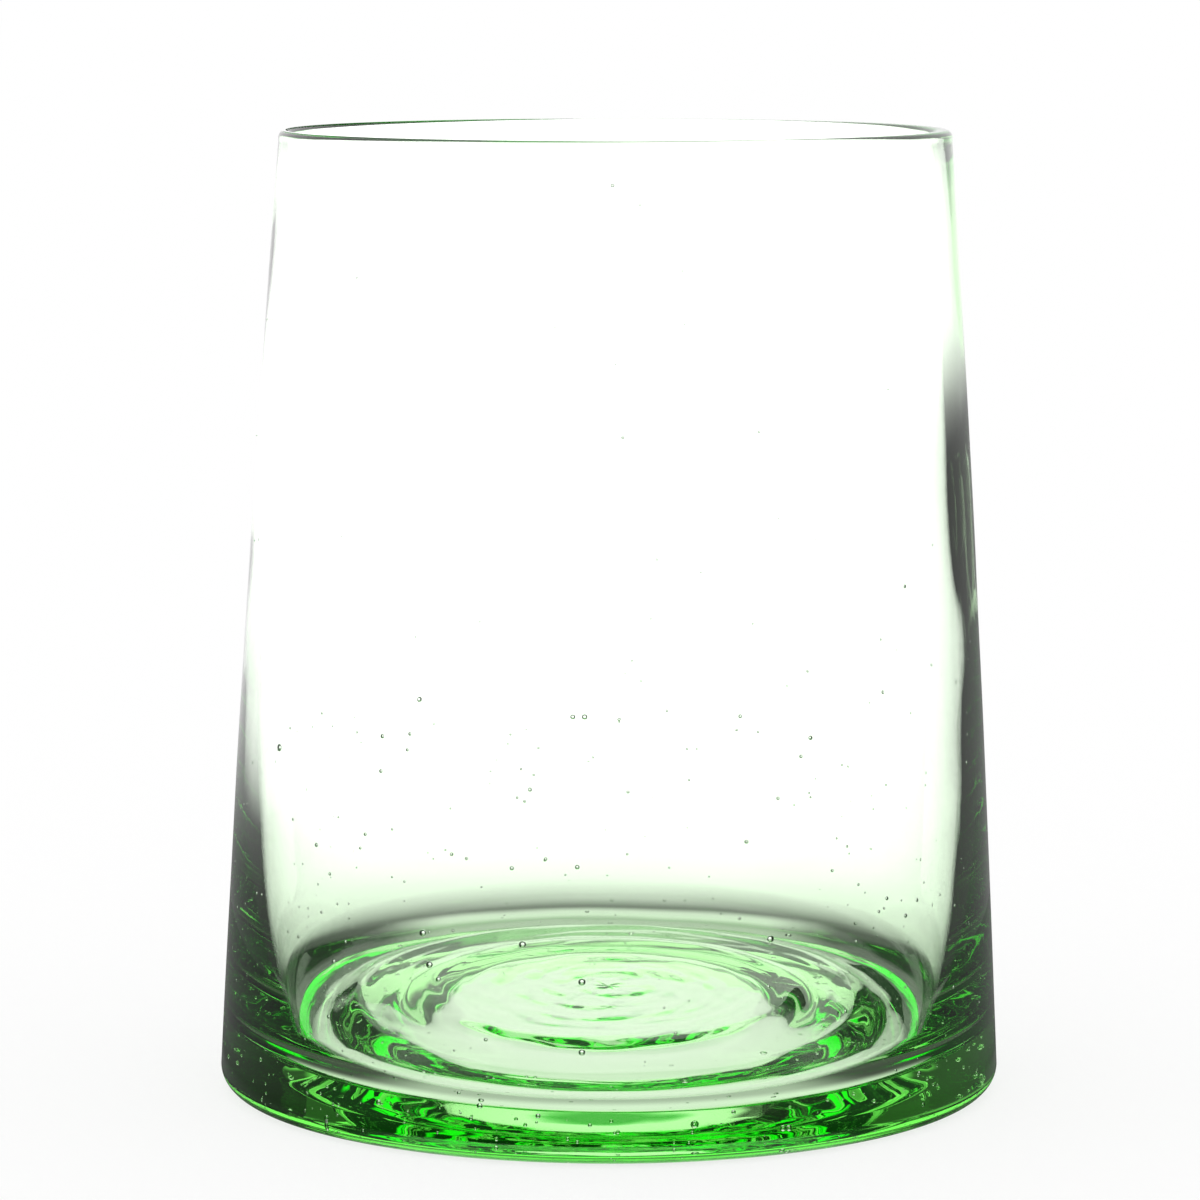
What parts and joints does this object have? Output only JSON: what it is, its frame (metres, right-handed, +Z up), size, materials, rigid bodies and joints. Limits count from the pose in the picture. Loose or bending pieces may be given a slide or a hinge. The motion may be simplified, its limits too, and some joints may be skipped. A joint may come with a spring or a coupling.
{
  "type": "drinking tumbler",
  "caption": "Tapered mouth-blown drinking glass, wider at its foot, with a thick green-tinted floor, a thin clear wall and a rounded rim; stands on a table and holds a drink.",
  "frame": {"origin": "centre of the flat ring under the foot, on the table's surface", "axes": "+Z up along the glass's axis, out through the open rim; X and Y across"},
  "size_m": [0.074, 0.074, 0.09],
  "materials": {
    "glass": "clear gloss glass with a light green tint, small seeds and soft hand-made ripples"
  },
  "bodies": {
    "root": {"tumbler": "glass"}
  },
  "joints": []
}
